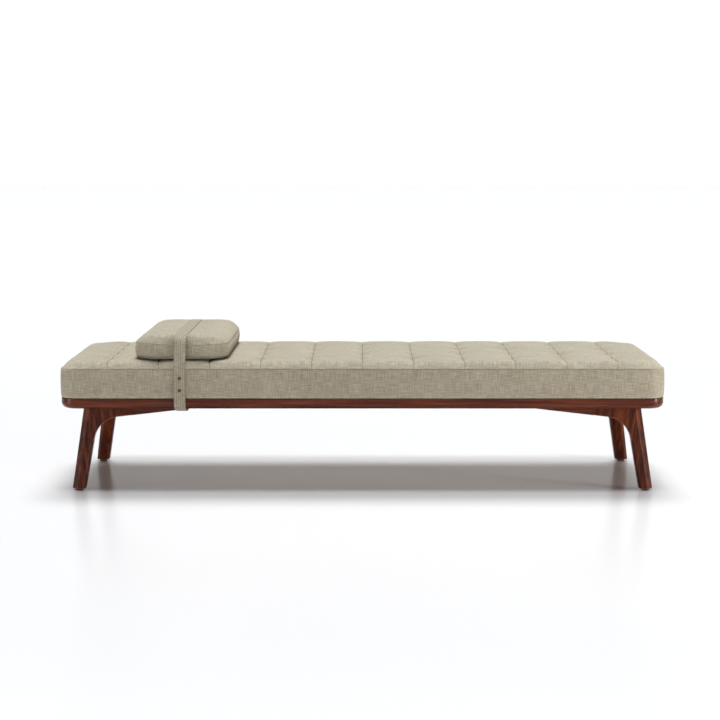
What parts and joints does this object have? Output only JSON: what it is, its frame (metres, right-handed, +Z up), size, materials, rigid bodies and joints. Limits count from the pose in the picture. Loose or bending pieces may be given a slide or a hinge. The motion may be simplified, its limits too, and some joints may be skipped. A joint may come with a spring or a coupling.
{
  "type": "daybed",
  "caption": "Low backless daybed: a tufted mattress on a walnut frame with splayed legs, and a box headrest cushion held by a snap-closed strap.",
  "frame": {"origin": "on the floor under the middle of the daybed's footprint", "axes": "+X along the bed from the headrest end, +Y from front to back, +Z up"},
  "size_m": [2.032, 0.7719, 0.526],
  "materials": {
    "walnut": "satin",
    "birch": "matte",
    "dowel": "matte",
    "screw_steel": "satin",
    "glide_nylon": "matte",
    "mattress_cloth": "matte",
    "dust_cloth": "matte",
    "foam": "matte",
    "cushion_cloth": "matte",
    "strap_cloth": "matte",
    "snap_metal": "satin"
  },
  "bodies": {
    "frame": {"front_rail": "walnut", "back_rail": "walnut", "left_end_rail": "walnut", "right_end_rail": "walnut", "front_left_leg": "walnut", "front_right_leg": "walnut", "back_left_leg": "walnut", "back_right_leg": "walnut", "front_left_apron": "walnut", "front_right_apron": "walnut", "back_left_apron": "walnut", "back_right_apron": "walnut", "left_end_apron": "walnut", "right_end_apron": "walnut", "slat_1": "birch", "slat_2": "birch", "slat_3": "birch", "slat_4": "birch", "slat_5": "birch", "slat_6": "birch", "slat_7": "birch", "slat_8": "birch", "slat_9": "birch", "slat_10": "birch", "slat_11": "birch", "slat_12": "birch", "slat_13": "birch", "centre_beam": "birch", "rail_dowels": "dowel", "apron_dowels": "dowel", "leg_bolts": "screw_steel", "beam_screws": "screw_steel", "slat_screws": "screw_steel", "glide_screws": "screw_steel", "leg_glides": "glide_nylon", "mattress_top_panel": "mattress_cloth", "mattress_side_band": "mattress_cloth", "mattress_bottom_panel": "dust_cloth", "mattress_core": "foam"},
    "headrest": {"cushion_top_panel": "cushion_cloth", "cushion_side_band": "cushion_cloth", "cushion_bottom_panel": "cushion_cloth", "cushion_core": "foam", "strap_band": "strap_cloth", "snap_studs": "snap_metal"},
    "strap_end": {"strap_tail": "strap_cloth", "snap_caps": "snap_metal", "snap_sockets": "snap_metal"}
  },
  "joints": [
    {"name": "headrest_slide", "type": "slide", "parent": "frame", "child": "headrest", "axis": [1, 0, 0], "range_m": [0, 1.221]},
    {"name": "strap_snap", "type": "hinge", "parent": "headrest", "child": "strap_end", "pos_m": [-0.6105, -0.3861, 0.424], "axis": [-1, 0, 0], "range_deg": [0, 100]}
  ]
}
